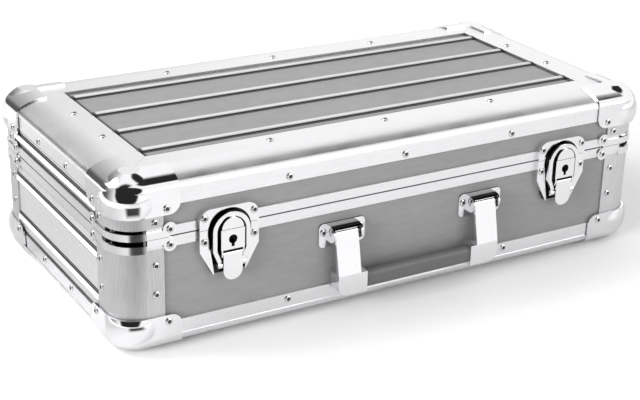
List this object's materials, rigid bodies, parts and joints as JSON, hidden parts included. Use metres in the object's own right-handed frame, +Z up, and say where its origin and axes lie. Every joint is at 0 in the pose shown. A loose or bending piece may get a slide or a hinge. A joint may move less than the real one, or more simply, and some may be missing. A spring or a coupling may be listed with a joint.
{
  "type": "cd storage case",
  "caption": "Low oblong flight-style case with edged grey boards, ball corners, hinged lid, draw latches with locks and a drop handle.",
  "frame": {"origin": "centre of the bounding box's footprint, on the surface that the case rests on", "axes": "+X along the case's length towards its right end, the front with latches and handle faces -Y, +Z up"},
  "size_m": [0.5066, 0.2744, 0.1452],
  "materials": {
    "grey_board": "satin grey foil on thin board",
    "edging_aluminium": "bright satin",
    "corner_chrome": "polished",
    "frame_aluminium": "satin",
    "rivet_aluminium": "satin",
    "lining_foam": "black flocked foam",
    "divider_board": "black felt on stiff foam",
    "bracket_chrome": "polished",
    "latch_plate_chrome": "polished",
    "lever_chrome": "polished",
    "loop_chrome": "polished",
    "lock_chrome": "polished",
    "plug_brass": "satin",
    "pin_steel": "satin",
    "hinge_steel": "satin",
    "grip_plastic": "satin grey",
    "strap_chrome": "satin nickel",
    "bracket_steel": "satin nickel"
  },
  "bodies": {
    "base": {"base_front_board": "grey_board", "base_back_board": "grey_board", "base_left_board": "grey_board", "base_right_board": "grey_board", "base_front_edging": "edging_aluminium", "base_back_edging": "edging_aluminium", "base_left_edging": "edging_aluminium", "base_right_edging": "edging_aluminium", "base_corner_posts": "frame_aluminium", "base_ball_corners": "corner_chrome", "base_closing_frame": "frame_aluminium", "base_frame_brackets": "bracket_chrome", "base_rivets": "rivet_aluminium", "base_wall_lining": "lining_foam", "base_floor_board": "grey_board", "floor_pad": "lining_foam", "row_dividers": "divider_board", "hinge_base_leaves": "hinge_steel", "hinge_pins": "pin_steel", "handle_brackets": "bracket_steel", "handle_pins": "pin_steel", "left_latch_plate": "latch_plate_chrome", "left_lock_housing": "lock_chrome", "left_lever_pin": "pin_steel", "right_latch_plate": "latch_plate_chrome", "right_lock_housing": "lock_chrome", "right_lever_pin": "pin_steel"},
    "lid": {"lid_front_board": "grey_board", "lid_back_board": "grey_board", "lid_left_board": "grey_board", "lid_right_board": "grey_board", "lid_front_edging": "edging_aluminium", "lid_back_edging": "edging_aluminium", "lid_left_edging": "edging_aluminium", "lid_right_edging": "edging_aluminium", "lid_corner_posts": "frame_aluminium", "lid_ball_corners": "corner_chrome", "lid_closing_frame": "frame_aluminium", "lid_frame_brackets": "bracket_chrome", "lid_rivets": "rivet_aluminium", "lid_wall_lining": "lining_foam", "lid_top_board": "grey_board", "lid_pad": "lining_foam", "hinge_lid_leaves": "hinge_steel", "left_latch_strike": "latch_plate_chrome", "right_latch_strike": "latch_plate_chrome"},
    "handle": {"handle_straps": "strap_chrome", "handle_grip": "grip_plastic"},
    "left_lever": {"left_latch_lever": "lever_chrome", "left_link_pin": "pin_steel"},
    "left_loop": {"left_latch_loop": "loop_chrome"},
    "left_plug": {"left_lock_plug": "plug_brass"},
    "right_lever": {"right_latch_lever": "lever_chrome", "right_link_pin": "pin_steel"},
    "right_loop": {"right_latch_loop": "loop_chrome"},
    "right_plug": {"right_lock_plug": "plug_brass"}
  },
  "joints": [
    {"name": "lid_hinge", "type": "hinge", "parent": "base", "child": "lid", "pos_m": [0, 0.13437, 0.0957], "axis": [-1, 0, 0], "range_deg": [0, 100]},
    {"name": "handle_swing", "type": "hinge", "parent": "base", "child": "handle", "pos_m": [0.01, -0.12668, 0.07], "axis": [-1, 0, 0], "range_deg": [0, 80]},
    {"name": "left_lever_swing", "type": "hinge", "parent": "base", "child": "left_lever", "pos_m": [-0.1595, -0.12868, 0.075], "axis": [-1, 0, 0], "range_deg": [0, 90]},
    {"name": "left_loop_tilt", "type": "hinge", "parent": "left_lever", "child": "left_loop", "pos_m": [-0.1595, -0.12843, 0.066], "axis": [-1, 0, 0], "range_deg": [-126, 0]},
    {"name": "left_key_turn", "type": "hinge", "parent": "base", "child": "left_plug", "pos_m": [-0.1595, -0.12768, 0.08728], "axis": [0, -1, 0], "range_deg": [0, 90]},
    {"name": "right_lever_swing", "type": "hinge", "parent": "base", "child": "right_lever", "pos_m": [0.1595, -0.12868, 0.075], "axis": [-1, 0, 0], "range_deg": [0, 90]},
    {"name": "right_loop_tilt", "type": "hinge", "parent": "right_lever", "child": "right_loop", "pos_m": [0.1595, -0.12843, 0.066], "axis": [-1, 0, 0], "range_deg": [-126, 0]},
    {"name": "right_key_turn", "type": "hinge", "parent": "base", "child": "right_plug", "pos_m": [0.1595, -0.12768, 0.08728], "axis": [0, -1, 0], "range_deg": [0, 90]}
  ],
  "couplings": [
    {"joint": "left_loop_tilt", "follows": "left_lever_swing", "ratio": -1.4},
    {"joint": "right_loop_tilt", "follows": "right_lever_swing", "ratio": -1.4}
  ]
}
